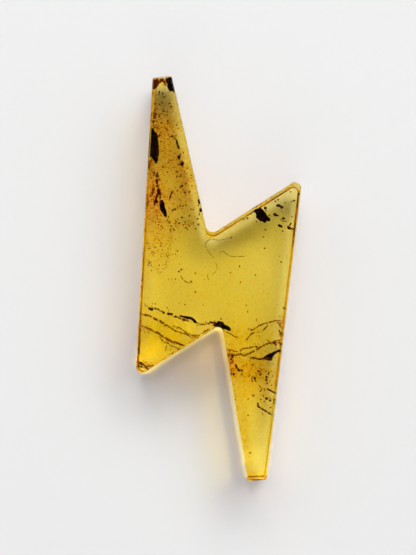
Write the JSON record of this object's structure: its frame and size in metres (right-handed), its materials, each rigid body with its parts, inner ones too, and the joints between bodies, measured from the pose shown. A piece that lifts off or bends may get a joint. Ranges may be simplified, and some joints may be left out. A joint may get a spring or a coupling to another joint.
{
  "type": "amber cabochon",
  "caption": "Flat-topped see-through amber cabochon cut as a slim lightning bolt, with a small rolled top rim, a small back bevel and dark bark sealed inside, for setting or drilling as a pendant.",
  "frame": {"origin": "middle of the outline's box, on the flat back face", "axes": "+Z from the back face to the top face, +Y along the bolt towards its upper spike, +X towards the right arm"},
  "size_m": [0.0224, 0.0552, 0.005],
  "materials": {
    "amber": "polished",
    "dark_bark": "matte, fibrous"
  },
  "bodies": {
    "root": {"amber_lower_half": "amber", "amber_upper_half": "amber", "bark_flake_left_edge": "dark_bark", "bark_splinter_upper_spike": "dark_bark", "bark_chip_right_arm": "dark_bark", "bark_sliver_flow_band": "dark_bark", "bark_chip_lower_notch": "dark_bark", "bark_splinter_right_edge": "dark_bark"}
  },
  "joints": []
}
